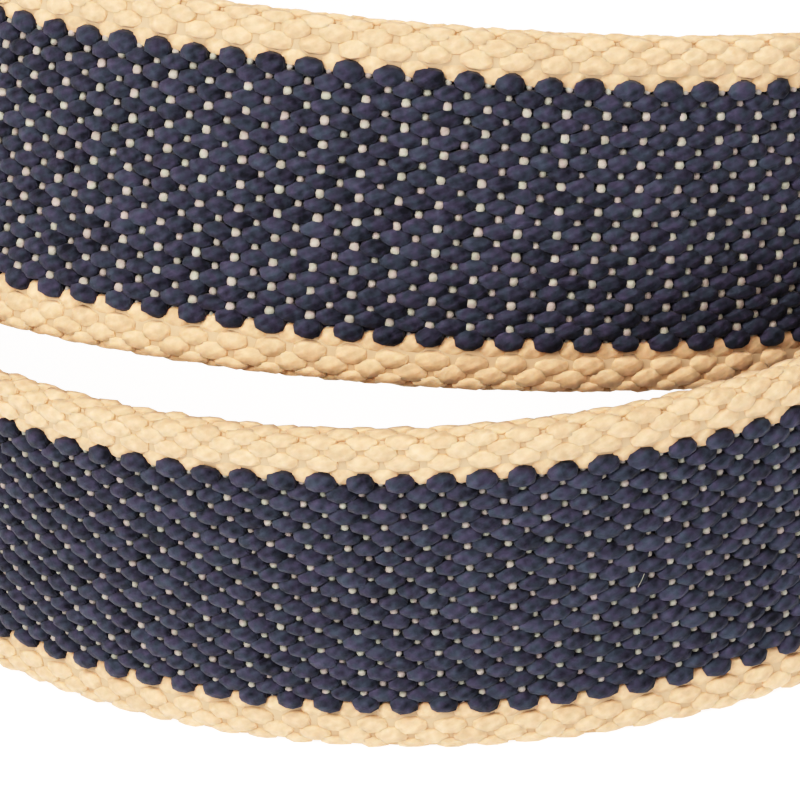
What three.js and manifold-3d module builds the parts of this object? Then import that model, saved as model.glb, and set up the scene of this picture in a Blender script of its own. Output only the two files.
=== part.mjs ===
// A woven web belt, loosely coiled and standing on its long edge.
// Units are millimetres and degrees. +Z is up, and the floor is Z = 0.
// The origin is on the floor, under the middle of the coil's bounding box.
//
// Two pieces: the woven strap, which is one band of webbing, and a plain box buckle on its outer end.
// Seen from above the strap runs anticlockwise, from the buckle on the outer turn to the free end inside.
// The second turn has popped up out of the first: its front is lifted and leans back.

import * as THREE from 'three';
import { mergeVertices } from 'three/addons/utils/BufferGeometryUtils.js';
import Module from 'manifold-3d';

// Strap
const strapWidth = 38;
const strapThickness = 3;
const strapEdgeRadius = 1;
const strapStepLength = 6.5;

// Coil in plan: the strap's centre line, by azimuth from +X. The rows are an eighth of a turn apart.
// They are the control rows of a smooth curve, which passes close to each one.
const coilCentre = { x: -7.92, y: -15.4 };
const rowSpacing = 45;
const coilRows = [
  { azimuth: -390, radius: 76.5 },
  { azimuth: -345, radius: 95.5 },
  { azimuth: -300, radius: 117 },
  { azimuth: -255, radius: 119.5 },
  { azimuth: -210, radius: 89 },
  { azimuth: -165, radius: 71 },
  { azimuth: -120, radius: 77.5 },
  { azimuth: -75, radius: 90.5 },
  { azimuth: -30, radius: 88.5 },
  { azimuth: 15, radius: 80.5 },
  { azimuth: 60, radius: 107 },
  { azimuth: 105, radius: 116 },
  { azimuth: 150, radius: 75 },
  { azimuth: 195, radius: 63.5 },
  { azimuth: 240, radius: 63 },
  { azimuth: 285, radius: 67.5 },
  { azimuth: 330, radius: 81.5 },
  { azimuth: 375, radius: 78.2 },
  { azimuth: 420, radius: 95.5 },
  { azimuth: 465, radius: 111 },
];
const coilStart = -345;
const coilEnd = 402;
const straightLead = 22;

// The second turn's front is lifted off the floor and leans back, as a ring tipped over does.
const liftedTurn = { azimuth: 237.5, halfSpan: 180, lift: 38.5, lean: 21 };

// Box buckle: a sleeve that closes round the strap's outer end
const buckleLength = 52;
const buckleWall = 1.2;
const buckleSideRoom = 0.7;
const buckleCavityDepth = 5.6;
const buckleCornerRadius = 2.4;
const buckleCavityRadius = 0.8;
const buckleCrown = 0.7;
const seatGap = 0.3;
const strapInBuckle = 20;
const clampRidge = { baseWidth: 6, tipWidth: 2.4, fromStrapEnd: 9, sunk: 0.5 };

const buckleCavityHeight = strapWidth + 2 * buckleSideRoom;
const buckleHeight = buckleCavityHeight + 2 * buckleWall;
const buckleDepth = buckleCavityDepth + 2 * buckleWall;

// The buckle is taller than the strap is wide, so the strap comes up a little to meet it.
const buckleEndLift = { azimuth: coilStart, halfSpan: 90, lift: (buckleHeight - strapWidth) / 2 };

// How finely the shapes are made
const strapCornerSegments = 1;
const buckleCornerSegments = 3;
const arcLengthSamples = 3000;
const weldDistance = 0.00001;

// A smooth bump: 1 at the middle, 0 at half the span and beyond.
function bump(azimuth, middle, halfSpan) {
  const part = Math.min(1, Math.abs(azimuth - middle) / halfSpan);
  return (1 + Math.cos(Math.PI * part)) / 2;
}

// Plan radius at an azimuth: a uniform cubic B-spline through the table's control rows.
function radiusAt(azimuth) {
  const place = (azimuth - coilRows[0].azimuth) / rowSpacing;
  const row = Math.min(Math.max(Math.floor(place), 1), coilRows.length - 3);
  const t = place - row;
  const before = ((1 - t) ** 3) / 6;
  const here = (3 * t ** 3 - 6 * t ** 2 + 4) / 6;
  const next = (-3 * t ** 3 + 3 * t ** 2 + 3 * t + 1) / 6;
  const after = (t ** 3) / 6;
  return before * coilRows[row - 1].radius + here * coilRows[row].radius
    + next * coilRows[row + 1].radius + after * coilRows[row + 2].radius;
}

function liftAt(azimuth) {
  const second = liftedTurn.lift * bump(azimuth, liftedTurn.azimuth, liftedTurn.halfSpan);
  const first = buckleEndLift.lift * bump(azimuth, buckleEndLift.azimuth, buckleEndLift.halfSpan);
  return second + first;
}

// How far the strap's upper edge leans towards the inside of the coil, in radians.
function leanAt(azimuth) {
  const away = THREE.MathUtils.degToRad(azimuth - liftedTurn.azimuth);
  const share = bump(azimuth, liftedTurn.azimuth, liftedTurn.halfSpan);
  return THREE.MathUtils.degToRad(liftedTurn.lean) * Math.cos(away) * share;
}

// The line down the middle of the strap, from the end inside the buckle to the free end.
class StrapCentreLine extends THREE.Curve {
  constructor() {
    super();
    this.arcLengthDivisions = arcLengthSamples;
    const nudge = 0.01;
    this.start = this.coilPoint(coilStart);
    this.startPerDegree = this.coilPoint(coilStart + nudge).sub(this.start).divideScalar(nudge);
    this.startPerDegree.z = 0;
    this.firstAzimuth = coilStart - straightLead / this.startPerDegree.length();
  }

  coilPoint(azimuth) {
    const angle = THREE.MathUtils.degToRad(azimuth);
    const radius = radiusAt(azimuth);
    return new THREE.Vector3(
      coilCentre.x + radius * Math.cos(angle),
      coilCentre.y + radius * Math.sin(angle),
      strapWidth / 2 + liftAt(azimuth),
    );
  }

  azimuthAt(share) {
    return THREE.MathUtils.lerp(this.firstAzimuth, coilEnd, share);
  }

  getPoint(share) {
    const azimuth = this.azimuthAt(share);
    if (azimuth >= coilStart) return this.coilPoint(azimuth);
    return this.start.clone().addScaledVector(this.startPerDegree, azimuth - coilStart);
  }

  // Place and directions at a distance along the strap: along it, up its width, and out of its face.
  frameAt(distance) {
    const even = THREE.MathUtils.clamp(distance / this.getLength(), 0, 1);
    const azimuth = this.azimuthAt(this.getUtoTmapping(even));
    const along = this.getTangentAt(even);
    const up = new THREE.Vector3(0, 0, 1).addScaledVector(along, -along.z).normalize();
    const out = new THREE.Vector3().crossVectors(along, up);
    const lean = leanAt(azimuth);
    const leaningUp = up.clone().multiplyScalar(Math.cos(lean)).addScaledVector(out, -Math.sin(lean));
    const leaningOut = new THREE.Vector3().crossVectors(along, leaningUp);
    return { place: this.getPointAt(even), along, up: leaningUp, out: leaningOut };
  }
}

const centreLine = new StrapCentreLine();
const strapLength = centreLine.getLength();

// A closed outline with round corners, centred on the origin.
function addRoundedBox(path, width, height, radius) {
  const right = width / 2 - radius;
  const top = height / 2 - radius;
  const quarter = Math.PI / 2;
  path.moveTo(right, -top - radius);
  path.absarc(right, -top, radius, -quarter, 0, false);
  path.absarc(right, top, radius, 0, quarter, false);
  path.absarc(-right, top, radius, quarter, 2 * quarter, false);
  path.absarc(-right, -top, radius, 2 * quarter, 3 * quarter, false);
  path.closePath();
  return path;
}

// The strap is extruded flat along Z, then each of its cross-sections is set on the centre line.
// In a cross-section X runs up the strap's width and Y runs out of its face.
function wovenStrapGeometry() {
  const section = addRoundedBox(new THREE.Shape(), strapWidth, strapThickness, strapEdgeRadius);
  const geometry = new THREE.ExtrudeGeometry(section, {
    depth: strapLength,
    steps: Math.round(strapLength / strapStepLength),
    curveSegments: strapCornerSegments,
    bevelEnabled: false,
  });
  const positions = geometry.getAttribute('position');
  for (let i = 0; i < positions.count; i += 1) {
    const frame = centreLine.frameAt(positions.getZ(i));
    const point = frame.place
      .addScaledVector(frame.up, positions.getX(i))
      .addScaledVector(frame.out, positions.getY(i));
    positions.setXYZ(i, point.x, point.y, point.z);
  }
  geometry.computeVertexNormals();
  return geometry;
}

// Across the sleeve X runs up, Y runs out of the coil, and the strap runs along Z.
function sleeveSection() {
  const corner = buckleCornerRadius;
  const top = buckleHeight / 2 - corner;
  const front = buckleDepth / 2 - corner;
  const quarter = Math.PI / 2;
  const section = new THREE.Shape();
  section.moveTo(-top, -front - corner);
  section.absarc(top, -front, corner, -quarter, 0, false);
  section.absarc(top, front, corner, 0, quarter, false);
  section.quadraticCurveTo(0, front + corner + 2 * buckleCrown, -top, front + corner);
  section.absarc(-top, front, corner, quarter, 2 * quarter, false);
  section.absarc(-top, -front, corner, 2 * quarter, 3 * quarter, false);
  section.holes.push(
    addRoundedBox(new THREE.Path(), buckleCavityHeight, buckleCavityDepth, buckleCavityRadius),
  );
  return section;
}

// The ridge that pinches the strap: it stands on the front wall inside, from the bottom to the top wall.
function clampRidgeGeometry(strapMiddle) {
  const wall = buckleCavityDepth / 2 + clampRidge.sunk;
  const tip = strapMiddle + strapThickness / 2 + seatGap;
  const profile = new THREE.Shape();
  profile.moveTo(-clampRidge.baseWidth / 2, wall);
  profile.lineTo(-clampRidge.tipWidth / 2, tip);
  profile.lineTo(clampRidge.tipWidth / 2, tip);
  profile.lineTo(clampRidge.baseWidth / 2, wall);
  profile.closePath();
  const height = buckleCavityHeight + 2 * clampRidge.sunk;
  const ridge = new THREE.ExtrudeGeometry(profile, { depth: height, bevelEnabled: false });
  ridge.translate(0, 0, -height / 2);
  ridge.rotateY(Math.PI / 2);
  return ridge;
}

function toManifold(wasm, geometry) {
  const bare = geometry.clone();
  bare.deleteAttribute('normal');
  bare.deleteAttribute('uv');
  const merged = mergeVertices(bare, weldDistance);
  return new wasm.Manifold(new wasm.Mesh({
    numProp: 3,
    vertProperties: new Float32Array(merged.getAttribute('position').array),
    triVerts: new Uint32Array(merged.getIndex().array),
  }));
}

function toGeometry(solid) {
  const mesh = solid.getMesh();
  const geometry = new THREE.BufferGeometry();
  geometry.setAttribute('position', new THREE.BufferAttribute(mesh.vertProperties, 3));
  geometry.setIndex(new THREE.BufferAttribute(mesh.triVerts, 1));
  geometry.computeVertexNormals();
  return geometry;
}

// The strap's end lies against the back wall of the sleeve, with the clamp ridge in front of it.
const strapMiddleInBuckle = -buckleCavityDepth / 2 + seatGap + strapThickness / 2;

function boxBuckleGeometry(wasm) {
  const sleeve = new THREE.ExtrudeGeometry(sleeveSection(), {
    depth: buckleLength,
    curveSegments: buckleCornerSegments,
    bevelEnabled: false,
  });
  sleeve.translate(0, 0, strapInBuckle - buckleLength);
  const ridge = clampRidgeGeometry(strapMiddleInBuckle);
  ridge.translate(0, 0, clampRidge.fromStrapEnd);
  return toGeometry(toManifold(wasm, sleeve).add(toManifold(wasm, ridge)));
}

// Turns and moves the buckle so that it closes round the strap's outer end.
function placeOnStrapEnd(mesh) {
  const frame = centreLine.frameAt(0);
  const basis = new THREE.Matrix4().makeBasis(frame.up, frame.out, frame.along);
  mesh.quaternion.setFromRotationMatrix(basis);
  mesh.position.copy(frame.place).addScaledVector(frame.out, -strapMiddleInBuckle);
}

const navyWebbing = new THREE.MeshStandardMaterial({ color: 0x262a41, roughness: 0.95, metalness: 0 });
const satinMetal = new THREE.MeshStandardMaterial({ color: 0x9c8a63, roughness: 0.38, metalness: 1 });

const wasm = await Module();
wasm.setup();

const strap = new THREE.Mesh(wovenStrapGeometry(), navyWebbing);
strap.name = 'woven_strap';

const buckle = new THREE.Mesh(boxBuckleGeometry(wasm), satinMetal);
buckle.name = 'box_buckle';
placeOnStrapEnd(buckle);

const belt = new THREE.Group();
belt.add(strap, buckle);

export default belt;
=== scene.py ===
# %% [markdown]
# # A coiled web belt
# The belt is one band of cotton webbing, navy with cream borders, standing on its edge in two loose turns.
# A plain box buckle closes round its outer end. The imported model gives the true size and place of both
# pieces, so this lesson starts by loading it. Everything after that is in metres, in the same frame.

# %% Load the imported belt
import math

import bpy
import numpy as np
from mathutils import Matrix, Vector


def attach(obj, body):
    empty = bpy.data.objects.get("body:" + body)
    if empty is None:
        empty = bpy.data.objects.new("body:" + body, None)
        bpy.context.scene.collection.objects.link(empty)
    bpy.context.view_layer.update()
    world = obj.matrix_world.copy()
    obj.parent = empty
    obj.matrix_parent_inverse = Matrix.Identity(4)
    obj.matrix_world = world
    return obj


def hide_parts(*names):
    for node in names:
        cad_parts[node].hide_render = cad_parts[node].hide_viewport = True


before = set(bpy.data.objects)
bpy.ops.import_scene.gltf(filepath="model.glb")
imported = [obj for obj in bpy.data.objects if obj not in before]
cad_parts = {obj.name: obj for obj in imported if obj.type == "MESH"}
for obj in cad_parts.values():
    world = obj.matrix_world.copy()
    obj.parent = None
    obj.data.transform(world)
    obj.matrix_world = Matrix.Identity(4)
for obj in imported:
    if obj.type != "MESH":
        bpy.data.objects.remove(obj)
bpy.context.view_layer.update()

MM = 0.001
print("packed pieces:", sorted(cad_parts))

# %% [markdown]
# ## The line that the strap follows
# A real belt is woven flat and coiled afterwards. This lesson does the same: each yarn is placed on a flat
# strap first, by its distance along the strap, and is then carried to the coil. The coil is a smooth curve
# in plan, drawn by radii an eighth of a turn apart. The front of its second turn is lifted, and leans back.

# %% The strap's sizes and the coil's table
strap_width = 38 * MM
strap_thickness = 3 * MM
strap_edge_radius = 1 * MM
buckle_height = 41.8 * MM

coil_centre = {"x": -7.92 * MM, "y": -15.4 * MM}
row_spacing = 45
coil_rows = [
    {"azimuth": -390, "radius": 76.5},
    {"azimuth": -345, "radius": 95.5},
    {"azimuth": -300, "radius": 117},
    {"azimuth": -255, "radius": 119.5},
    {"azimuth": -210, "radius": 89},
    {"azimuth": -165, "radius": 71},
    {"azimuth": -120, "radius": 77.5},
    {"azimuth": -75, "radius": 90.5},
    {"azimuth": -30, "radius": 88.5},
    {"azimuth": 15, "radius": 80.5},
    {"azimuth": 60, "radius": 107},
    {"azimuth": 105, "radius": 116},
    {"azimuth": 150, "radius": 75},
    {"azimuth": 195, "radius": 63.5},
    {"azimuth": 240, "radius": 63},
    {"azimuth": 285, "radius": 67.5},
    {"azimuth": 330, "radius": 81.5},
    {"azimuth": 375, "radius": 78.2},
    {"azimuth": 420, "radius": 95.5},
    {"azimuth": 465, "radius": 111},
]
coil_start = -345
coil_end = 402
straight_lead = 22 * MM
lifted_turn = {"azimuth": 237.5, "half_span": 180, "lift": 38.5 * MM, "lean": 21}
buckle_end_lift = {"azimuth": coil_start, "half_span": 90, "lift": (buckle_height - strap_width) / 2}
print(len(coil_rows), "radii draw", (coil_end - coil_start) / 360, "turns")


# %% The coil's radius, height and lean
def bump(azimuth, middle, half_span):
    """A smooth bump: 1 at the middle, 0 at half the span and beyond."""
    part = np.minimum(1, np.abs(azimuth - middle) / half_span)
    return (1 + np.cos(np.pi * part)) / 2


def radius_at(azimuth):
    """The coil's radius in plan: a uniform cubic B-spline over the table's rows."""
    radii = np.array([row["radius"] for row in coil_rows]) * MM
    place = (azimuth - coil_rows[0]["azimuth"]) / row_spacing
    row = np.clip(np.floor(place).astype(int), 1, len(radii) - 3)
    t = place - row
    before = (1 - t) ** 3 / 6
    here = (3 * t ** 3 - 6 * t ** 2 + 4) / 6
    following = (-3 * t ** 3 + 3 * t ** 2 + 3 * t + 1) / 6
    after = t ** 3 / 6
    return (before * radii[row - 1] + here * radii[row]
            + following * radii[row + 1] + after * radii[row + 2])


def lift_at(azimuth):
    second = lifted_turn["lift"] * bump(azimuth, lifted_turn["azimuth"], lifted_turn["half_span"])
    first = buckle_end_lift["lift"] * bump(azimuth, buckle_end_lift["azimuth"], buckle_end_lift["half_span"])
    return second + first


def lean_at(azimuth):
    """How far the strap's upper edge leans towards the inside of the coil, in radians."""
    away = np.radians(azimuth - lifted_turn["azimuth"])
    share = bump(azimuth, lifted_turn["azimuth"], lifted_turn["half_span"])
    return np.radians(lifted_turn["lean"]) * np.cos(away) * share


def coil_point(azimuth):
    angle = np.radians(azimuth)
    radius = radius_at(azimuth)
    x = coil_centre["x"] + radius * np.cos(angle)
    y = coil_centre["y"] + radius * np.sin(angle)
    z = strap_width / 2 + lift_at(azimuth)
    return np.stack([x, y, z], axis=-1)


# %% Measure the line from the buckle's end to the free end
line_samples = 24001
nudge = 0.01

start_point = coil_point(np.array([coil_start]))[0]
step_per_degree = (coil_point(np.array([coil_start + nudge]))[0] - start_point) / nudge
step_per_degree[2] = 0
first_azimuth = coil_start - straight_lead / np.linalg.norm(step_per_degree)

line_azimuth = np.linspace(first_azimuth, coil_end, line_samples)
on_coil = coil_point(np.maximum(line_azimuth, coil_start))
before_coil = np.minimum(line_azimuth - coil_start, 0)
line_place = on_coil + before_coil[:, None] * step_per_degree
line_step = np.linalg.norm(np.diff(line_place, axis=0), axis=1)
line_distance = np.concatenate([[0], np.cumsum(line_step)])
line_along = np.gradient(line_place, line_distance, axis=0)
strap_length = line_distance[-1]
print(f"the strap is {strap_length / MM:.0f} mm long")


# %% Directions anywhere along the strap
def columns_at(distance, table):
    return np.stack([np.interp(distance, line_distance, table[:, k]) for k in range(3)], axis=1)


def unit(vectors):
    return vectors / np.linalg.norm(vectors, axis=1)[:, None]


def strap_frames(distance):
    """The middle line's place, and the directions along, up the width and out of the face."""
    azimuth = np.interp(distance, line_distance, line_azimuth)
    place = columns_at(distance, line_place)
    along = unit(columns_at(distance, line_along))
    up = unit(np.array([0, 0, 1]) - along[:, 2:] * along)
    out = np.cross(along, up)
    lean = lean_at(azimuth)[:, None]
    leaning_up = up * np.cos(lean) - out * np.sin(lean)
    leaning_out = np.cross(along, leaning_up)
    return place, along, leaning_up, leaning_out


# %% [markdown]
# ## Round the strap
# A place on the strap's surface is given by three lengths: the distance along the strap, the girth, which is
# the distance round its cross-section from the middle of the outer face, and the height above the surface.
# The cross-section is a flat box with round corners. Its outline is a short table: as the girth grows, the
# centre of the corner circle slides along each flat side, and the direction that the surface faces turns
# round each corner. Yarn that the belt stands on is pressed flat, so nothing goes below the floor.

# %% The cross-section as a table
side = strap_width / 2 - strap_edge_radius
rim = strap_thickness / 2 - strap_edge_radius
corner = strap_edge_radius * math.pi / 2
outline = [
    {"length": 0, "facing": 0, "up": 0, "out": rim},
    {"length": side, "facing": 0, "up": side, "out": rim},
    {"length": corner, "facing": 90, "up": side, "out": rim},
    {"length": 2 * rim, "facing": 90, "up": side, "out": -rim},
    {"length": corner, "facing": 180, "up": side, "out": -rim},
    {"length": 2 * side, "facing": 180, "up": -side, "out": -rim},
    {"length": corner, "facing": 270, "up": -side, "out": -rim},
    {"length": 2 * rim, "facing": 270, "up": -side, "out": rim},
    {"length": corner, "facing": 360, "up": -side, "out": rim},
    {"length": side, "facing": 360, "up": 0, "out": rim},
]
outline_girth = np.cumsum([row["length"] for row in outline])
strap_girth = outline_girth[-1]
print(f"it is {strap_girth / MM:.1f} mm round")


# %% Carry flat places to the coil
def outline_at(girth, height):
    """Distances up the width and out of the face, for a girth and a height above the surface."""
    turns = np.mod(girth, strap_girth)
    facing, up, out = [np.interp(turns, outline_girth, [row[column] for row in outline])
                       for column in ("facing", "up", "out")]
    reach = strap_edge_radius + height
    return up + reach * np.sin(np.radians(facing)), out + reach * np.cos(np.radians(facing))


def lay_on_strap(flat):
    """Carries points given as distance, girth and height to their place on the coiled strap."""
    distance, girth, height = flat.T
    up, out = outline_at(girth, height)
    place, along, across, outward = strap_frames(distance)
    beyond = distance - np.clip(distance, 0, strap_length)
    laid = place + along * beyond[:, None] + across * up[:, None] + outward * out[:, None]
    laid[:, 2] = np.maximum(laid[:, 2], 0)
    return laid


free_end_place = lay_on_strap(np.array([[strap_length, 0, 0]]))[0]
print("the free end's outer face is at", (free_end_place / MM).round(1), "mm")

# %% [markdown]
# ## The weave
# The webbing is a warp-faced plain weave. Thick warp yarns run along the strap, so close together that they
# hide the weft that crosses them. Each yarn goes over one weft and under the next, and the yarn beside it
# does the opposite, so its floats, the short stretches on the surface, lie in a chequered order like bricks.
# Where four floats meet, a dot of the cream weft shows between them.
# The yarns also run round the strap's two edges, so rows are counted all the way round it, up from the
# middle of the outer face. On each face the navy stripe takes eleven rows on both sides of the middle.

# %% The weave's counts and spacings
rows_round = 62
row_pitch = strap_girth / rows_round
rows_from_face_to_face = rows_round // 2
stripe_half = 11
inner_rows = range(17, 45)

column_pitch = 2.06165 * MM
column_zero = 458.07 * MM
end_margin = 0.2 * column_pitch
first_column = math.ceil((end_margin - column_zero) / column_pitch)
last_column = math.floor((strap_length - end_margin - column_zero) / column_pitch)
columns = range(first_column, last_column + 1)
print(len(columns), "wefts along the strap,", rows_round, "yarns round it")


# %% Which rows are navy, and which face inwards
def is_navy(row):
    return (row + stripe_half) % rows_from_face_to_face < 2 * stripe_half


def is_inner(row):
    return row % rows_round in inner_rows


navy_rows = [row for row in range(rows_round) if is_navy(row)]
print(len(navy_rows), "navy rows and", rows_round - len(navy_rows), "cream ones")


# %% [markdown]
# ## Yarn as a material
# Cotton yarn is several plies twisted together. Close up it shows slanting plies, fine fibres along them,
# a matt surface and small differences of shade from float to float. The effect is a node group, so that all
# the yarns share it. It reads each yarn's own UV map, so the twist follows every float round the coil.

# %% Helpers for shader nodes
def add_node(tree, kind, **settings):
    node = tree.nodes.new(kind)
    for name, value in settings.items():
        setattr(node, name, value)
    return node


def plug(tree, source, target):
    tree.links.new(source, target)


def scaled(tree, source, factor, offset=0.0):
    """source * factor + offset"""
    node = add_node(tree, "ShaderNodeMath", operation="MULTIPLY_ADD")
    plug(tree, source, node.inputs[0])
    node.inputs[1].default_value = factor
    node.inputs[2].default_value = offset
    return node.outputs[0]


def centred(tree, source):
    """source - 0.5"""
    return scaled(tree, source, 1.0, -0.5)


def sum_of(tree, first, second, factor):
    """first + second * factor"""
    node = add_node(tree, "ShaderNodeMath", operation="MULTIPLY_ADD")
    plug(tree, second, node.inputs[0])
    node.inputs[1].default_value = factor
    plug(tree, first, node.inputs[2])
    return node.outputs[0]


def product_of(tree, first, second):
    node = add_node(tree, "ShaderNodeMath", operation="MULTIPLY")
    plug(tree, first, node.inputs[0])
    plug(tree, second, node.inputs[1])
    return node.outputs[0]


def noise_at(tree, place, scale, detail=2):
    node = add_node(tree, "ShaderNodeTexNoise")
    node.inputs["Scale"].default_value = scale
    node.inputs["Detail"].default_value = detail
    plug(tree, place, node.inputs["Vector"])
    return node.outputs["Fac"]


# %% Helpers that mix colours
def mix_sockets(tree, blend_type="MIX"):
    """A new Mix node's sockets for colours: the share, the first, the second and the result."""
    node = add_node(tree, "ShaderNodeMix", data_type="RGBA", blend_type=blend_type, clamp_factor=True)
    return node.inputs[0], node.inputs[6], node.inputs[7], node.outputs[2]


def mixed(tree, share, first, second):
    share_in, first_in, second_in, result = mix_sockets(tree)
    plug(tree, share, share_in)
    plug(tree, first, first_in)
    plug(tree, second, second_in)
    return result


def product_of_colours(tree, first, second):
    share_in, first_in, second_in, result = mix_sockets(tree, "MULTIPLY")
    share_in.default_value = 1.0
    plug(tree, first, first_in)
    plug(tree, second, second_in)
    return result


def shade_between(tree, share, dark, light):
    """A colour from dark to light that follows the share."""
    share_in, dark_in, light_in, result = mix_sockets(tree)
    plug(tree, share, share_in)
    dark_in.default_value = (*dark, 1)
    light_in.default_value = (*light, 1)
    return result


# %% The plies and the fibres
ply_slant = 3.4
ply_count = 15
fibre_stretch = {"along": 1.1, "across": 9, "slant": 1.7, "from_float_to_float": 23}
fibre_scale = 1.6


def ply_waves(group, along, around):
    """Slanting ridges, from 0 to 1."""
    phase = sum_of(group, scaled(group, along, ply_slant), around, ply_count)
    wave = add_node(group, "ShaderNodeMath", operation="SINE")
    plug(group, phase, wave.inputs[0])
    return scaled(group, wave.outputs[0], 0.5, 0.5)


def fibre_streaks(group, along, around, tone):
    """Fine streaks that follow the plies."""
    place = add_node(group, "ShaderNodeCombineXYZ")
    across = sum_of(group, scaled(group, around, fibre_stretch["across"]), along, fibre_stretch["slant"])
    plug(group, scaled(group, along, fibre_stretch["along"]), place.inputs[0])
    plug(group, across, place.inputs[1])
    plug(group, scaled(group, tone, fibre_stretch["from_float_to_float"]), place.inputs[2])
    return noise_at(group, place.outputs[0], fibre_scale)


# %% How much each effect counts in the yarn's shade, tint, height and roughness
mottle_scale = 1000
hue_scale = 900
shade_share = {"middle": 0.42, "tone": 0.36, "ply": 0.16, "fibre": 0.28}
hue_contrast = 3.6
height_share = {"ply": 0.35, "fibre": 0.35, "mottle": 1.2}
yarn_roughness = {"least": 0.78, "fibre": 0.15}


def yarn_shade(group, given, ply, fibre, mottle):
    """The yarn's colour between dark and light, before its tint, with painted shade along each float."""
    share = scaled(group, given["Tone"], shade_share["tone"], -shade_share["tone"] / 2)
    share = sum_of(group, share, centred(group, ply), shade_share["ply"])
    share = sum_of(group, share, centred(group, fibre), shade_share["fibre"])
    share = sum_of(group, share, product_of(group, centred(group, mottle), given["Mottling"]), 1.0)
    # Painted shade: each float is darker towards the end further along the strap and lighter towards the
    # other, as if lit from one side.
    share = sum_of(group, share, product_of(group, given["Float side"], given["Painted side shade"]), -1.0)
    return mixed(group, scaled(group, share, 1.0, shade_share["middle"]), given["Dark"], given["Light"])


def yarn_tint(group, given):
    """Patches of a warmer and a cooler tint."""
    hue = noise_at(group, given["Object place"], hue_scale)
    share = scaled(group, hue, hue_contrast, (1 - hue_contrast) / 2)
    return mixed(group, share, given["Warm tint"], given["Cool tint"])


def yarn_height(group, ply, fibre, mottle):
    height = sum_of(group, scaled(group, ply, height_share["ply"]), fibre, height_share["fibre"])
    return sum_of(group, height, mottle, height_share["mottle"])


# %% Build the spun yarn group
group_inputs = {"Vector": ("Yarn place", "Object place"),
                "Float": ("Tone", "Float side", "Painted side shade", "Mottling"),
                "Color": ("Dark", "Light", "Warm tint", "Cool tint")}
group_outputs = {"Color": ("Color",), "Float": ("Roughness", "Height")}


def add_sockets(group, in_out, kinds):
    for kind, names in kinds.items():
        for name in names:
            group.interface.new_socket(name, in_out=in_out, socket_type=f"NodeSocket{kind}")


def spun_yarn_group():
    group = bpy.data.node_groups.new("spun_yarn", "ShaderNodeTree")
    add_sockets(group, "INPUT", group_inputs)
    add_sockets(group, "OUTPUT", group_outputs)
    given = add_node(group, "NodeGroupInput").outputs
    made = add_node(group, "NodeGroupOutput").inputs
    split = add_node(group, "ShaderNodeSeparateXYZ")
    plug(group, given["Yarn place"], split.inputs[0])
    along, around = split.outputs[0], split.outputs[1]
    ply = ply_waves(group, along, around)
    fibre = fibre_streaks(group, along, around, given["Tone"])
    mottle = noise_at(group, given["Object place"], mottle_scale)
    shade = yarn_shade(group, given, ply, fibre, mottle)
    plug(group, product_of_colours(group, shade, yarn_tint(group, given)), made["Color"])
    plug(group, scaled(group, fibre, yarn_roughness["fibre"], yarn_roughness["least"]), made["Roughness"])
    plug(group, yarn_height(group, ply, fibre, mottle), made["Height"])
    return group


spun_yarn = spun_yarn_group()
print("spun yarn group:", len(spun_yarn.nodes), "nodes")

# %% Navy, cream and weft yarn
yarn_gloss = 0.2
sheen_roughness = 0.5
relief_strength = 0.8
glow_radius = (1.0, 0.6, 0.35)
glow_depth = 0.45 * MM


def new_material(name):
    material = bpy.data.materials.new(name)
    material.use_nodes = True
    return material, material.node_tree, material.node_tree.nodes["Principled BSDF"]


def add_relief(tree, shader, height, depth, strength):
    relief = add_node(tree, "ShaderNodeBump")
    relief.inputs["Distance"].default_value = depth
    relief.inputs["Strength"].default_value = strength
    plug(tree, height, relief.inputs["Height"])
    plug(tree, relief.outputs["Normal"], shader.inputs["Normal"])


def yarn_material(name, colours, mottling, painted_side_shade, relief_depth, sheen, glow):
    material, tree, shader = new_material(name)
    yarn = add_node(tree, "ShaderNodeGroup", node_tree=spun_yarn)
    plug(tree, add_node(tree, "ShaderNodeUVMap", uv_map="yarn").outputs["UV"], yarn.inputs["Yarn place"])
    plug(tree, add_node(tree, "ShaderNodeTexCoord").outputs["Object"], yarn.inputs["Object place"])
    for socket, attribute in (("Tone", "tone"), ("Float side", "float_side")):
        reader = add_node(tree, "ShaderNodeAttribute", attribute_name=attribute)
        plug(tree, reader.outputs["Fac"], yarn.inputs[socket])
    for socket, colour in colours.items():
        yarn.inputs[socket].default_value = (*colour, 1)
    yarn.inputs["Mottling"].default_value = mottling
    yarn.inputs["Painted side shade"].default_value = painted_side_shade
    add_relief(tree, shader, yarn.outputs["Height"], relief_depth, relief_strength)
    plug(tree, yarn.outputs["Color"], shader.inputs["Base Color"])
    plug(tree, yarn.outputs["Roughness"], shader.inputs["Roughness"])
    shader.inputs["Specular IOR Level"].default_value = yarn_gloss
    shader.inputs["Sheen Weight"].default_value = sheen
    shader.inputs["Sheen Roughness"].default_value = sheen_roughness
    shader.inputs["Subsurface Weight"].default_value = glow
    shader.inputs["Subsurface Radius"].default_value = glow_radius
    shader.inputs["Subsurface Scale"].default_value = glow_depth
    return material


navy_colours = {"Dark": (0.004, 0.005, 0.011), "Light": (0.063, 0.069, 0.109),
                "Warm tint": (1.08, 0.94, 1.08), "Cool tint": (0.86, 1.05, 1.0)}
cream_colours = {"Dark": (0.55, 0.37, 0.23), "Light": (0.95, 0.63, 0.39),
                 "Warm tint": (1.0, 0.96, 0.94), "Cool tint": (0.98, 1.0, 0.98)}
weft_colours = {"Dark": (0.24, 0.232, 0.228), "Light": (0.54, 0.545, 0.575),
                "Warm tint": (1.0, 0.87, 0.82), "Cool tint": (0.94, 1.0, 0.82)}
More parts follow.
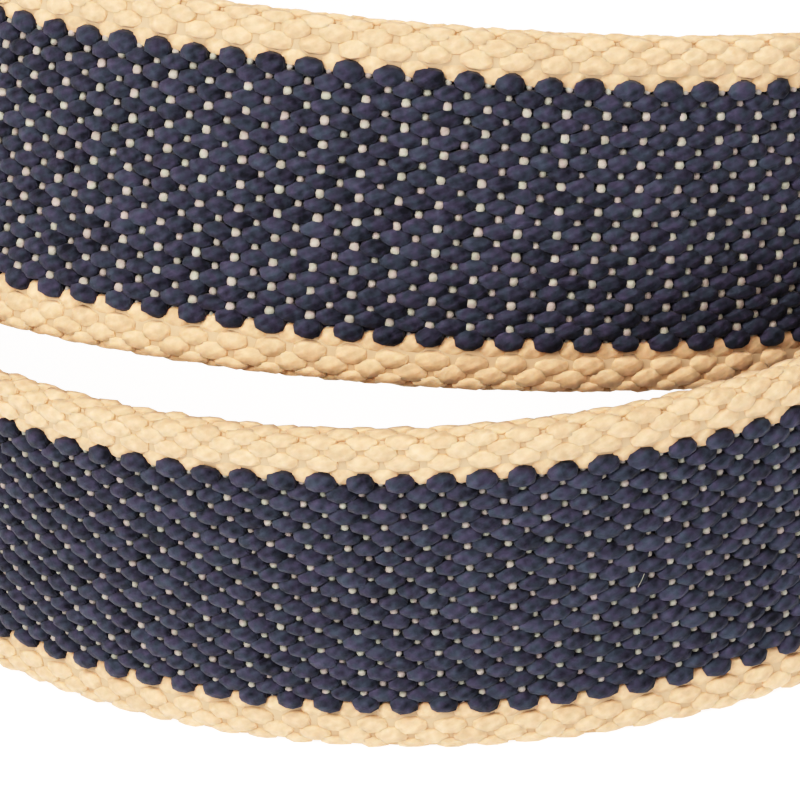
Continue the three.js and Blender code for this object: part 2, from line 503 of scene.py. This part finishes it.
# The navy yarn carries painted shade: the end of each float further along the strap is darker, the other end
# lighter.
navy_yarn = yarn_material("navy_yarn", navy_colours, mottling=1.1, painted_side_shade=0.22,
                          relief_depth=0.22 * MM, sheen=0.10, glow=0.0)
cream_yarn = yarn_material("cream_yarn", cream_colours, mottling=1.4, painted_side_shade=0.0,
                           relief_depth=0.14 * MM, sheen=0.05, glow=0.4)
weft_yarn = yarn_material("weft_yarn", weft_colours, mottling=0.6, painted_side_shade=0.0,
                          relief_depth=0.04 * MM, sheen=0.05, glow=0.0)
print("yarns:", navy_yarn.name, cream_yarn.name, weft_yarn.name)

# %% Yarn below the floats
ground_grain = 900
ground_roughness = 0.95


def ground_material(name, dark, light):
    """Mostly in shadow, so a soft noise between two tones is enough; its colours are darker than the same
    yarn on the floats, as painted crease shade.
    """
    material, tree, shader = new_material(name)
    grain = noise_at(tree, add_node(tree, "ShaderNodeTexCoord").outputs["Object"], ground_grain)
    plug(tree, shade_between(tree, grain, dark, light), shader.inputs["Base Color"])
    shader.inputs["Roughness"].default_value = ground_roughness
    return material


# Both grounds are darker than the navy and cream yarn on top: painted shade for the creases between the
# floats.
navy_ground_painted_shade = ground_material("navy_ground_painted_shade", dark=(0.008, 0.008, 0.018), light=(0.020, 0.021, 0.045))
cream_ground_painted_shade = ground_material("cream_ground_painted_shade", dark=(0.49, 0.345, 0.215), light=(0.62, 0.435, 0.275))
print("below them:", navy_ground_painted_shade.name, cream_ground_painted_shade.name)


# %% A helper that dresses a finished piece
def dress(piece, materials, replaced_node):
    """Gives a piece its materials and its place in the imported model."""
    for material in materials:
        piece.data.materials.append(material)
    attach(piece, "root")
    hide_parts(replaced_node)
    piece.data.calc_loop_triangles()
    print(piece.name, "has", len(piece.data.loop_triangles), "triangles")


# %% [markdown]
# ## One float of yarn
# A float is a short, soft ridge that dips under its neighbours at both ends. It is modelled once: a ball
# lying along X is cut in half, its ends are made blunter, and it is stretched to its half length, half width
# and rise. The belt needs nearly eighteen thousand copies, so the ball has few sides, and smooth shading
# rounds it. The inner face of the coil shows less, so its float has fewer rings.

# %% Helpers for modelling
def select_only(thing):
    bpy.ops.object.select_all(action="DESELECT")
    thing.select_set(True)
    bpy.context.view_layer.objects.active = thing


def open_mesh():
    """Enters edit mode with everything selected."""
    bpy.ops.object.mode_set(mode="EDIT")
    bpy.ops.mesh.select_all(action="SELECT")


def close_mesh():
    """Points the selected faces outwards and leaves edit mode."""
    bpy.ops.mesh.normals_make_consistent(inside=False)
    bpy.ops.object.mode_set(mode="OBJECT")


def half_ball(name, sides, rings, tips_along):
    """The upper half of a ball of radius 1, with its tips along X or Z."""
    bpy.ops.object.select_all(action="DESELECT")
    turn = math.pi / 2 if tips_along == "X" else 0
    bpy.ops.mesh.primitive_uv_sphere_add(segments=sides, ring_count=rings, radius=1, rotation=(0, turn, 0))
    ball = bpy.context.object
    ball.name = name
    bpy.ops.object.transform_apply(location=False, rotation=True, scale=False)
    open_mesh()
    bpy.ops.mesh.bisect(plane_co=(0, 0, 0), plane_no=(0, 0, 1), use_fill=True, clear_inner=True)
    bpy.ops.mesh.select_all(action="SELECT")
    bpy.ops.mesh.remove_doubles(threshold=0.001)
    close_mesh()
    return ball


def widen_rings(ball, beyond, factor):
    """Makes the rings near the tips wider, so that the float ends bluntly."""
    tip = 0.99
    for vertex in ball.data.vertices:
        if beyond < abs(vertex.co.x) < tip:
            vertex.co.y *= factor
            vertex.co.z *= factor


def square_shoulders(ball, factor):
    """Pushes the corners between the top and the sides outwards, so that the float is fuller."""
    clear = 0.1
    for vertex in ball.data.vertices:
        if abs(vertex.co.y) > clear and vertex.co.z > clear:
            vertex.co.y *= factor
            vertex.co.z *= factor


def stretch(thing, size):
    select_only(thing)
    bpy.ops.transform.resize(value=size)
    bpy.ops.object.transform_apply(location=False, rotation=False, scale=True)


# %% Model the two floats
float_size = (1.78 * MM, 1.07 * MM, 0.95 * MM)
float_crest = 0.35 * MM

outer_float = half_ball("outer_float", sides=8, rings=5, tips_along="X")
widen_rings(outer_float, beyond=0.6, factor=1.14)
square_shoulders(outer_float, factor=1.06)
stretch(outer_float, float_size)

inner_float = half_ball("inner_float", sides=8, rings=3, tips_along="X")
widen_rings(inner_float, beyond=0.3, factor=1.05)
stretch(inner_float, float_size)
print("points in a float:", len(outer_float.data.vertices), "and", len(inner_float.data.vertices))

# %% [markdown]
# ## One dot of weft
# The weft dot is the crown of a yarn that crosses under the floats. Only its top shows, so it is a small
# dome. The inner face gets a plainer one, with fewer sides.

# %% Model the two dots
dot_size = (0.60 * MM, 0.62 * MM, 0.66 * MM)

weft_dot = half_ball("weft_dot", sides=8, rings=4, tips_along="Z")
stretch(weft_dot, dot_size)

plain_dot = half_ball("plain_dot", sides=6, rings=2, tips_along="Z")
stretch(plain_dot, dot_size)
print("points in a dot:", len(weft_dot.data.vertices), "and", len(plain_dot.data.vertices))

# %% [markdown]
# ## Copying a piece many times
# Each copy gets its own place, a slightly different size, turn and tone, and its own part of a UV map, which
# runs along and round the yarn. All the copies become one mesh, and the mesh is then laid on the coil.
# The numbers are drawn from a seeded generator, so every run weaves the same belt.

# %% Read a modelled piece into arrays
def piece_arrays(piece):
    """A modelled piece's points, faces and UV places, and each point's place from one end of the piece to the
    other, which carries the navy yarn's painted side shade.
    """
    underside = -0.9
    mesh = piece.data
    points = np.array([vertex.co for vertex in mesh.vertices])
    corners = np.array([corner.vertex_index for corner in mesh.loops])
    starts = np.array([polygon.loop_start for polygon in mesh.polygons])
    downward = np.array([polygon.normal.z < underside for polygon in mesh.polygons])
    around = np.arctan2(points[:, 2], points[:, 1]) / math.pi
    uv = np.stack([points[:, 0] / MM, around], axis=1)[corners]
    # From -1 at one end of the piece to 1 at the other; the navy yarn paints shade by this value.
    float_side = points[:, 0] / points[:, 0].max()
    return {"points": points, "corners": corners, "starts": starts, "downward": downward, "uv": uv,
            "float_side": float_side}


def tiled(values, copies, step):
    """The values once for each copy, with the step added once more each time."""
    return (values[None, :] + (np.arange(copies) * step)[:, None]).ravel()


# %% Build one mesh from many copies
uv_parts = 50


def new_object(name, data):
    thing = bpy.data.objects.new(name, data)
    bpy.context.scene.collection.objects.link(thing)
    return thing


def copied_mesh(name, arrays, points, uv_shift, tone):
    """One object that holds all the copies, each with its own UV part and tone."""
    copies = len(tone)
    mesh = bpy.data.meshes.new(name)
    mesh.vertices.add(len(points))
    mesh.vertices.foreach_set("co", points.ravel())
    mesh.loops.add(copies * len(arrays["corners"]))
    mesh.loops.foreach_set("vertex_index", tiled(arrays["corners"], copies, len(arrays["points"])))
    mesh.polygons.add(copies * len(arrays["starts"]))
    mesh.polygons.foreach_set("loop_start", tiled(arrays["starts"], copies, len(arrays["corners"])))
    mesh.polygons.foreach_set("use_smooth", ~np.tile(arrays["downward"], copies))
    yarn_map = mesh.uv_layers.new(name="yarn")
    yarn_map.data.foreach_set("uv", (arrays["uv"][None, :, :] + uv_shift[:, None, :]).ravel())
    tones = mesh.attributes.new("tone", "FLOAT", "POINT")
    tones.data.foreach_set("value", np.repeat(tone, len(arrays["points"])))
    # This attribute carries the painted side shade of the navy yarn.
    ends = mesh.attributes.new("float_side", "FLOAT", "POINT")
    ends.data.foreach_set("value", np.tile(arrays["float_side"], copies))
    mesh.update(calc_edges=True)
    mesh.validate()
    return new_object(name, mesh)


# %% [markdown]
# ## What differs from row to row
# Real webbing isn't quite even. The last navy yarn on each side of the stripe swells over the first cream
# yarn beside it, which gives the stripe its scalloped edge. The cream yarns sit a little further along.
# All wefts wander slowly to and fro.

# %% How a row's floats differ
plain_habit = {"length": 1.0, "width": 1.0, "sideways": 0.0, "forward": 0.0, "drop": 0.0}
swollen_edge = {"length": 0.93, "width": 1.16, "sideways": 0.05 * MM, "drop": -0.12 * MM}
covered_edge = {"length": 0.88, "width": 1.21, "sideways": -0.18 * MM, "drop": 0.40 * MM}
cream_forward = 0.45 * MM


def row_habit(row):
    """Length, width, sideways and forward shift, and drop of a row's floats."""
    habit = dict(plain_habit)
    if not is_navy(row):
        habit["forward"] = cream_forward
    for neighbour in (-1, 1):
        if is_navy(row) != is_navy(row + neighbour):
            edge = swollen_edge if is_navy(row) else covered_edge
            for key in ("length", "width", "drop"):
                habit[key] = edge[key]
            habit["sideways"] = edge["sideways"] * (neighbour if is_navy(row) else -neighbour)
    return habit


print("the last navy row:", row_habit(navy_rows[stripe_half - 1]))

# %% How unevenly it is woven
weave_jitter = {"size": 0.045, "turn": 3.5, "shift": 0.045 * MM, "tone": 0.20, "lumps": 0.028}
weft_wander = 0.05 * MM
slow_share = 0.7
slow_length, slow_girth, slow_swing = 17 * MM, 29 * MM, 2
quick_length, quick_girth = 6.1 * MM, 11 * MM


def wander(distance, girth):
    """The drift of the wefts along the strap: a slow wave and a quicker, smaller one."""
    slow = np.sin(distance / slow_length + slow_swing * np.sin(girth / slow_girth))
    quick = np.sin(distance / quick_length - girth / quick_girth)
    return weft_wander * (slow_share * slow + (1 - slow_share) * quick)


def uneven_points(arrays, dice, copies, size, length, width):
    """Each copy's points: a little larger or smaller but never taller, and slightly lumpy."""
    scale = np.array(size) * (1 + weave_jitter["size"] * dice.standard_normal((copies, 3)))
    scale[:, 0] *= length
    scale[:, 1] *= width
    scale[:, 2] = np.minimum(scale[:, 2], size[2])
    points = arrays["points"][None, :, :] * scale[:, None, :]
    lumps = weave_jitter["lumps"] * arrays["points"][:, 0].max()
    return points + lumps * dice.standard_normal(points.shape)


# %% Scatter copies over the strap
def woven(name, piece, places, crest, size=(1, 1, 1), turn=0, seed_number=1, habit_of=row_habit):
    """Copies the piece to each column and row in places, and lays the copies on the strap."""
    dice = np.random.default_rng(seed_number)
    arrays = piece_arrays(piece)
    column, row = np.array(places).T
    copies = len(places)
    habits = [habit_of(int(place[1])) for place in places]
    length, width, sideways, forward, drop = [np.array([habit[key] for habit in habits])
                                              for key in plain_habit]
    points = uneven_points(arrays, dice, copies, size, length, width)
    angle = np.radians(turn + weave_jitter["turn"] * dice.standard_normal(copies))[:, None]
    shift = weave_jitter["shift"] * dice.standard_normal((copies, 2))
    middle_distance = column_zero + column * column_pitch + shift[:, 0] + forward
    middle_girth = (row + 0.5) * row_pitch + shift[:, 1] + sideways
    middle_distance = middle_distance + wander(middle_distance, middle_girth)
    x, y, z = points[:, :, 0], points[:, :, 1], points[:, :, 2]
    distance = middle_distance[:, None] + x * np.cos(angle) - y * np.sin(angle)
    distance = np.clip(distance, 0, strap_length)
    girth = middle_girth[:, None] + x * np.sin(angle) + y * np.cos(angle)
    top = arrays["points"][:, 2].max() * size[2]
    height = z + crest - top - drop[:, None]
    laid = lay_on_strap(np.stack([distance, girth, height], axis=-1).reshape(-1, 3))
    uv_shift = dice.uniform(0, uv_parts, (copies, 2)).round(0)
    tone = np.clip(0.5 + weave_jitter["tone"] * dice.standard_normal(copies), 0, 1)
    return copied_mesh(name, arrays, laid, uv_shift, tone)


# %% [markdown]
# ## The ground
# Under the floats lies the body of the webbing: the yarns where they pass below. It shows only in the
# creases, so it is a plain closed tube, a little thinner than the strap. A flat grid with one cell for each
# row is wrapped round the strap, its two long sides are merged, and its ends are closed. The cells under the
# borders are cream, the others navy, and the cream ones lie higher, because cream yarn is fuller.

# %% Wrap the ground round the strap
ground_depth = {"navy": 0.60 * MM, "cream": 0.12 * MM}
columns_in_a_cell = 2


def wrapped_ground(name):
    bpy.ops.object.select_all(action="DESELECT")
    bpy.ops.mesh.primitive_grid_add(x_subdivisions=len(columns) // columns_in_a_cell,
                                    y_subdivisions=rows_round, size=1)
    ground = bpy.context.object
    ground.name = name
    mesh = ground.data
    for polygon in mesh.polygons:
        row = int((polygon.center.y + 0.5) * rows_round)
        polygon.material_index = 0 if is_navy(row) else 1
    points = np.array([vertex.co for vertex in mesh.vertices])
    line = np.round((points[:, 1] + 0.5) * rows_round).astype(int)
    between_cream = np.array([not is_navy(row) and not is_navy(row - 1) for row in line])
    distance = (points[:, 0] + 0.5) * strap_length
    girth = (points[:, 1] + 0.5) * strap_girth
    height = np.where(between_cream, -ground_depth["cream"], -ground_depth["navy"])
    laid = lay_on_strap(np.stack([distance, girth, height], axis=1))
    mesh.vertices.foreach_set("co", laid.ravel())
    mesh.update()
    return ground


# %% Close the ground
merge_distance = 0.02 * MM
ground_smoothing = math.radians(50)


def close_ground(ground):
    select_only(ground)
    open_mesh()
    bpy.ops.mesh.remove_doubles(threshold=merge_distance)
    bpy.ops.mesh.select_all(action="DESELECT")
    bpy.ops.mesh.select_mode(type="EDGE")
    bpy.ops.mesh.select_non_manifold(extend=False)
    bpy.ops.mesh.fill_holes(sides=0)
    bpy.ops.mesh.select_all(action="SELECT")
    close_mesh()
    bpy.ops.object.shade_smooth_by_angle(angle=ground_smoothing)


webbing_ground = wrapped_ground("webbing_ground")
close_ground(webbing_ground)
dress(webbing_ground, [navy_ground_painted_shade, cream_ground_painted_shade], "woven_strap")

# %% [markdown]
# ## Weave the strap
# The navy floats of the outer face are made in two lengths, so that no piece grows too heavy. The cream ones
# run over the borders and round both edges. Cream floats are a little fuller, so they close up more.

# %% The kinds of float
middle_column = (first_column + last_column) // 2
first_half = range(first_column, middle_column)
second_half = range(middle_column, last_column + 1)

float_kinds = [
    {"name": "navy_floats_first_turn", "navy": True, "inner": False, "columns": first_half},
    {"name": "navy_floats_second_turn", "navy": True, "inner": False, "columns": second_half},
    {"name": "navy_floats_inner_face", "navy": True, "inner": True, "columns": columns},
    {"name": "cream_floats_outer_face", "navy": False, "inner": False, "columns": columns},
    {"name": "cream_floats_inner_face", "navy": False, "inner": True, "columns": columns},
]
plain_fullness = (1, 1, 1)
cream_fullness = (1.07, 1.10, 0.80)
first_float_seed = 11


def float_places(kind):
    return [(column, row) for column in kind["columns"] for row in range(rows_round)
            if (column + row) % 2 == 0 and is_navy(row) == kind["navy"] and is_inner(row) == kind["inner"]]


# %% Weave the floats
for number, kind in enumerate(float_kinds):
    seed_piece = inner_float if kind["inner"] else outer_float
    fullness = plain_fullness if kind["navy"] else cream_fullness
    yarn = navy_yarn if kind["navy"] else cream_yarn
    floats = woven(kind["name"], seed_piece, float_places(kind), float_crest, fullness,
                   seed_number=first_float_seed + number)
    dress(floats, [yarn], "woven_strap")

# %% [markdown]
# ## Set the weft dots
# Every second weft is thicker, so its dots stand higher and look brighter, as in the photograph. Where the
# strap bends more tightly, in the second turn, the floats part a little, and the dots show larger there.
# In the photograph the dots also sit a little back and down from the middle of their gaps. Those in the last
# navy rows are small and deep, half under the cream yarn beside them.

# %% The kinds of weft dot
dot_kinds = [
    {"name": "first_turn_thick", "columns": first_half, "odd": True,
     "size": (0.95, 1.04, 0.92), "depth": 0.09 * MM},
    {"name": "first_turn_thin", "columns": first_half, "odd": False,
     "size": (0.84, 0.92, 0.85), "depth": 0.30 * MM},
    {"name": "second_turn_thick", "columns": second_half, "odd": True,
     "size": (1.08, 1.24, 1.0), "depth": -0.12 * MM},
    {"name": "second_turn_thin", "columns": second_half, "odd": False,
     "size": (0.92, 1.02, 0.95), "depth": 0.13 * MM},
]
middle_dot = dict(plain_habit, forward=-0.08 * MM, sideways=-0.12 * MM)
edge_dot = dict(middle_dot, length=0.75, width=0.8, drop=0.25 * MM)
first_dot_seed = 21


# %% Set the dots in the navy stripe
def dot_habit(row):
    is_edge = is_navy(row) and not (is_navy(row - 1) and is_navy(row + 1))
    return edge_dot if is_edge else middle_dot


def dot_places(kind, inner):
    return [(column, row) for column in kind["columns"] for row in navy_rows
            if (column + row) % 2 == 1 and is_inner(row) == inner and (column % 2 == 1) == kind["odd"]]


for number, kind in enumerate(dot_kinds):
    for inner, face, seed_piece in ((False, "outer", weft_dot), (True, "inner", plain_dot)):
        dots = woven(f"weft_dots_{kind['name']}_{face}", seed_piece, dot_places(kind, inner), -kind["depth"],
                     kind["size"], seed_number=first_dot_seed + number, habit_of=dot_habit)
        dress(dots, [weft_yarn], "woven_strap")

# %% [markdown]
# ## The free end
# The photograph doesn't show the free end, so it is finished plainly: the yarns are cut square, and two rows
# of lockstitch across the strap keep them from fraying. A cut yarn end is a flat dome that faces along the
# strap, and a stitch is a short, thin float laid across it.

# %% Cut yarn ends
cut_size = (0.58 * MM, 0.58 * MM, 0.22 * MM)
cut_depth = 0.45 * MM
cut_tones = (0.3, 0.7)

cut_end = half_ball("cut_end", sides=6, rings=4, tips_along="Z")
stretch(cut_end, cut_size)


def cut_ends(name, piece, seed_number):
    """One dome for each yarn, facing along the strap at its end."""
    arrays = piece_arrays(piece)
    points = arrays["points"]
    rows = np.arange(rows_round)
    girth = (rows[:, None] + 0.5) * row_pitch + points[None, :, 0]
    height = np.broadcast_to(points[None, :, 1] - cut_depth, girth.shape)
    distance = np.broadcast_to(strap_length + points[None, :, 2], girth.shape)
    laid = lay_on_strap(np.stack([distance, girth, height], axis=-1).reshape(-1, 3))
    dice = np.random.default_rng(seed_number)
    uv_shift = dice.uniform(0, uv_parts, (rows_round, 2))
    thing = copied_mesh(name, arrays, laid, uv_shift, dice.uniform(*cut_tones, rows_round))
    faces = len(arrays["starts"])
    for polygon in thing.data.polygons:
        polygon.material_index = 0 if is_navy(polygon.index // faces) else 1
    return thing


yarn_ends = cut_ends("cut_yarn_ends", cut_end, seed_number=31)
dress(yarn_ends, [navy_yarn, cream_yarn], "woven_strap")

# %% Two rows of lockstitch
stitch_row_from_end = (3 * MM, 6.2 * MM)
stitches_across = 14
first_stitch_row = -13.2
rows_to_next_stitch = 2
stitch_crest = float_crest + 0.12 * MM
stitch_size = (1.12 * MM, 0.36 * MM, 0.42 * MM)

stitch = half_ball("stitch", sides=8, rings=5, tips_along="X")
stretch(stitch, stitch_size)


def stitch_places():
    stitch_columns = [(strap_length - gap - column_zero) / column_pitch for gap in stitch_row_from_end]
    stitch_rows = [first_stitch_row + rows_to_next_stitch * number for number in range(stitches_across)]
    return [(column, row + face) for column in stitch_columns for row in stitch_rows
            for face in (0, rows_from_face_to_face)]


lockstitch = woven("end_lockstitch", stitch, stitch_places(), stitch_crest, turn=90, seed_number=32)
dress(lockstitch, [weft_yarn], "woven_strap")

# %% [markdown]
# ## Stray fibres
# Cotton always sheds a few fibres. A fibre is a very thin tube: a small ring, extruded step by step, which
# is then bent and curled over the floats. One lies where the photograph shows it, and the rest are scattered
# over the stretches that it doesn't show.

# %% Extrude one fibre
fibre_length = 3.4 * MM
fibre_radius = 0.036 * MM
fibre_sides = 5
fibre_steps = 9

bpy.ops.object.select_all(action="DESELECT")
bpy.ops.mesh.primitive_circle_add(vertices=fibre_sides, radius=fibre_radius, fill_type="NGON",
                                  location=(-fibre_length / 2, 0, 0), rotation=(0, math.pi / 2, 0))
fibre = bpy.context.object
fibre.name = "fibre"
bpy.ops.object.transform_apply(location=True, rotation=True, scale=False)
open_mesh()
bpy.ops.mesh.select_mode(type="FACE")
for step in range(fibre_steps):
    bpy.ops.mesh.extrude_region_move(TRANSFORM_OT_translate={"value": (fibre_length / fibre_steps, 0, 0)})
bpy.ops.mesh.select_all(action="SELECT")
close_mesh()
print("points in a fibre:", len(fibre.data.vertices))

# %% Choose the fibres' places
seen_fibres = [{"column": 7.33, "row": -0.9, "heading": 62, "length": 0.5}]
seen_columns = [range(-30, 20), range(235, 290)]
scattered_fibres = 34
fibre_columns = (first_column + 12, last_column - 2)
fibre_rows = (-14, 45)
fibre_lengths = (0.7, 1.3)


def scattered_fibre_places(dice):
    """Anywhere along the strap but in the two stretches that the photograph shows."""
    places = []
    while len(places) < scattered_fibres:
        place = {"column": dice.uniform(*fibre_columns), "row": dice.uniform(*fibre_rows),
                 "heading": dice.uniform(0, 180), "length": dice.uniform(*fibre_lengths)}
        if not any(int(place["column"]) in seen for seen in seen_columns):
            places.append(place)
    return places


# %% Curl the fibres and lay them down
fibre_curl = {"most": 0.35 * MM, "waves": 2.2, "bow": 0.5}
fibre_arch = {"height": 0.10 * MM, "least": 1.5, "waves": 1.7}
fibre_tones = (0.1, 0.6)


def curled(points, place, curl):
    """One fibre's points as distance, girth and height on the flat strap."""
    x, y, z = points.T
    along = x * place["length"]
    wave = curl * np.sin(fibre_curl["waves"] * along / MM)
    aside = y + wave + fibre_curl["bow"] * curl * (along / MM) ** 2
    heading = math.radians(place["heading"])
    distance = column_zero + place["column"] * column_pitch
    girth = (place["row"] + 0.5) * row_pitch
    arch = fibre_arch["height"] * (fibre_arch["least"] + np.cos(fibre_arch["waves"] * along / MM))
    return np.stack([distance + along * math.cos(heading) - aside * math.sin(heading),
                     girth + along * math.sin(heading) + aside * math.cos(heading),
                     float_crest + arch + z], axis=1)


def curled_fibres(name, piece, seed_number):
    dice = np.random.default_rng(seed_number)
    arrays = piece_arrays(piece)
    places = seen_fibres + scattered_fibre_places(dice)
    most = fibre_curl["most"]
    flat = [curled(arrays["points"], place, dice.uniform(-most, most)) for place in places]
    laid = lay_on_strap(np.concatenate(flat))
    uv_shift = dice.uniform(0, uv_parts, (len(places), 2))
    return copied_mesh(name, arrays, laid, uv_shift, dice.uniform(*fibre_tones, len(places)))


stray_fibres = curled_fibres("stray_fibres", fibre, seed_number=41)
dress(stray_fibres, [weft_yarn], "woven_strap")

# %% Put the modelled seeds away
seeds = (outer_float, inner_float, weft_dot, plain_dot, cut_end, stitch, fibre)
for seed_piece in seeds:
    bpy.data.objects.remove(seed_piece)
print("seeds put away:", len(seeds))

# %% [markdown]
# ## The buckle
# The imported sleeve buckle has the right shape, and only its edges are sharper than bent sheet metal can be.
# A copy of it is merged, its flat faces are joined, and every edge gets a narrow rounded bevel that catches
# the light. Its finish is satin brass plate: fine brushed lines round the sleeve, and brighter worn patches.

# %% Satin plate
brushed_lines = {"scale": 5200, "stretch": (1.0, 0.06, 1.0), "depth": 0.02 * MM, "strength": 0.5}
worn_patches = {"scale": 140, "detail": 3}
plate_shade = {"base": -0.05, "patch": 0.6, "line": 0.5}
plate_roughness = {"base": 0.42, "patch": -0.25, "line": 0.18}


def patched_and_lined(tree, patches, lines, share):
    value = scaled(tree, patches, share["patch"], share["base"])
    return sum_of(tree, value, lines, share["line"])


def brushed_metal(name, dark, light):
    material, tree, shader = new_material(name)
    place = add_node(tree, "ShaderNodeTexCoord").outputs["Object"]
    stretched = add_node(tree, "ShaderNodeMapping")
    stretched.inputs["Scale"].default_value = brushed_lines["stretch"]
    plug(tree, place, stretched.inputs["Vector"])
    lines = noise_at(tree, stretched.outputs["Vector"], brushed_lines["scale"])
    patches = noise_at(tree, place, worn_patches["scale"], worn_patches["detail"])
    shade = shade_between(tree, patched_and_lined(tree, patches, lines, plate_shade), dark, light)
    add_relief(tree, shader, lines, brushed_lines["depth"], brushed_lines["strength"])
    plug(tree, shade, shader.inputs["Base Color"])
    plug(tree, patched_and_lined(tree, patches, lines, plate_roughness), shader.inputs["Roughness"])
    shader.inputs["Metallic"].default_value = 1.0
    return material


satin_brass = brushed_metal("satin_brass", dark=(0.30, 0.235, 0.125), light=(0.58, 0.48, 0.29))
print("plate:", satin_brass.name)

# %% Round the buckle's edges
edge_round = 0.22 * MM
edge_steps = 3
sharp_angle = math.radians(40)
flat_angle = math.radians(1)
smooth_angle = math.radians(35)

packed_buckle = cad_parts["box_buckle"]
buckle = new_object("buckle_sleeve", packed_buckle.data.copy())
buckle.matrix_world = packed_buckle.matrix_world.copy()
buckle.data.materials.clear()
select_only(buckle)
bpy.ops.object.transform_apply(location=True, rotation=True, scale=True)
open_mesh()
bpy.ops.mesh.remove_doubles(threshold=0.002 * MM)
bpy.ops.mesh.dissolve_limited(angle_limit=flat_angle)
close_mesh()
rounding = buckle.modifiers.new("rounding", "BEVEL")
rounding.width = edge_round
rounding.segments = edge_steps
rounding.limit_method = "ANGLE"
rounding.angle_limit = sharp_angle
bpy.ops.object.modifier_apply(modifier="rounding")
bpy.ops.object.shade_smooth_by_angle(angle=smooth_angle)
dress(buckle, [satin_brass], "box_buckle")

# %% [markdown]
# ## The floor and the light
# A plain, pale floor that glows a little, like a light table, carries the belt. Three soft, warm lamps stand
# in front: the strongest to the left, so each float is brighter on its left side, a large one overhead, and
# a weak one to the right. The navy floats also carry painted shade towards one end. A fourth lights the back,
# and a faint white room fills the shadows.

# %% Lay the floor
floor_size = 6
floor_tone = 0.38
floor_glow = 0.78
floor_roughness = 0.9

bpy.ops.object.select_all(action="DESELECT")
bpy.ops.mesh.primitive_plane_add(size=floor_size)
floor = bpy.context.object
floor.name = "pale_floor"
floor_paint, floor_tree, floor_shader = new_material("pale_floor")
floor_shader.inputs["Base Color"].default_value = (floor_tone, floor_tone, floor_tone, 1)
floor_shader.inputs["Roughness"].default_value = floor_roughness
floor_shader.inputs["Specular IOR Level"].default_value = 0.0
floor_shader.inputs["Emission Color"].default_value = (1, 1, 1, 1)
floor_shader.inputs["Emission Strength"].default_value = floor_glow
floor.data.materials.append(floor_paint)

# %% Set the lights
warm_white = (1.0, 0.88, 0.79)
belt_middle = (0, 0, 0.03)
room_light = 0.11


def soft_light(name, place, size, power):
    lamp = bpy.data.lights.new(name, "AREA")
    lamp.shape = "DISK"
    lamp.color = warm_white
    lamp.size = size
    lamp.energy = power
    thing = new_object(name, lamp)
    thing.location = place
    thing.rotation_euler = (Vector(belt_middle) - Vector(place)).to_track_quat("-Z", "Y").to_euler()


soft_light("left_softbox", place=(-0.80, -0.62, 0.80), size=0.50, power=7.5)
soft_light("overhead_softbox", place=(0.0, -0.35, 1.1), size=0.9, power=6.2)
soft_light("front_softbox", place=(0.55, -0.85, 0.60), size=0.80, power=2.3)
soft_light("back_softbox", place=(0.70, 0.75, 0.60), size=0.80, power=4.0)

world = bpy.data.worlds.new("white_room")
bpy.context.scene.world = world
world.use_nodes = True
room = world.node_tree.nodes["Background"]
room.inputs["Color"].default_value = (1, 1, 1, 1)
room.inputs["Strength"].default_value = room_light
print("lamps:", len(bpy.data.lights))

# %% [markdown]
# ## The film
# A camera doesn't record light evenly: it holds back the bright parts and deepens the dark ones. In the
# photograph the pale yarn shows almost no shadow and the navy yarn a lot, so this picture gets such a curve.

# %% Set the film curve
film_deepening = 1.45
film_shoulder = 0.20
curve_lights = (0.01, 0.03, 0.08, 0.2, 0.4, 0.6, 0.8)
curve_for_all_colours = 3


def film_response(light):
    """How bright the film shows a given light, both from 0 to 1."""
    deepened = light ** film_deepening
    return deepened / (deepened + film_shoulder * (1 - deepened))


film = bpy.context.scene.view_settings
film.view_transform = "Standard"
film.use_curve_mapping = True
tone_curve = film.curve_mapping.curves[curve_for_all_colours]
for light in curve_lights:
    tone_curve.points.new(light, film_response(light))
film.curve_mapping.update()
print("film curve:", [tuple(round(part, 3) for part in point.location) for point in tone_curve.points])

# %% [markdown]
# ## The camera
# The photograph is a close-up from the front of the coil, a little above it, with the camera tipped to one
# side. A long lens, a little over half a metre away, lets the picture's lines converge as little as there.

# %% Place the camera
camera_place = (-9.533 * MM, -540.75 * MM, 297.758 * MM)
camera_dip = 30.169
camera_roll = -6.154

camera_data = bpy.data.cameras.new("camera")
camera_data.sensor_width = 36
camera_data.lens = 225
camera_data.clip_start = 0.01
camera = new_object("camera", camera_data)
camera.matrix_world = (Matrix.Translation(camera_place)
                       @ Matrix.Rotation(math.radians(90 - camera_dip), 4, "X")
                       @ Matrix.Rotation(math.radians(camera_roll), 4, "Z"))
bpy.context.scene.camera = camera
print(f"a {camera_data.lens:.0f} mm lens, {Vector(camera_place).length:.2f} m from the origin")
